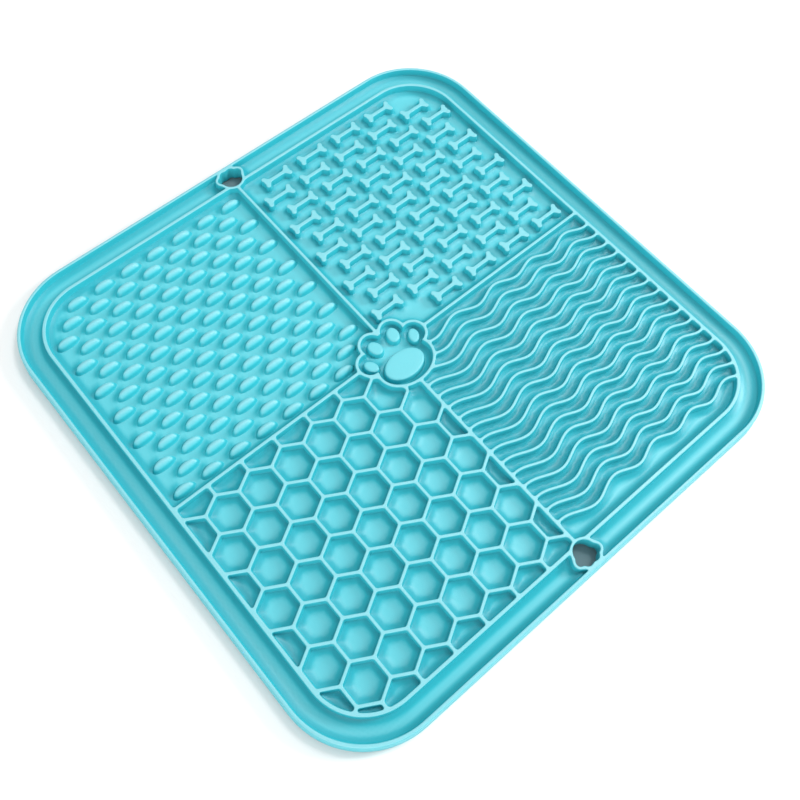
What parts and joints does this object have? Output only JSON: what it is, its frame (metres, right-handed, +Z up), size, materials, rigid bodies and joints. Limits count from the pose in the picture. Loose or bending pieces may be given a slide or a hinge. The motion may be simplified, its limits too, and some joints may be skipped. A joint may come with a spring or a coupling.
{
  "type": "pet lick mat",
  "caption": "Square silicone lick mat with rounded corners, a raised rim and gutter, paw shaped hanging holes, and fields of bumps, bones, honeycomb and waves around a paw.",
  "frame": {"origin": "middle of the flat underside", "axes": "+Z up out of the patterned face, +Y towards the hanging hole between the bumps and the bones, +X towards the side with the bones and the waves"},
  "size_m": [0.2, 0.2, 0.0056],
  "materials": {
    "silicone": "satin turquoise silicone"
  },
  "bodies": {
    "root": {"mat": "silicone"}
  },
  "joints": []
}
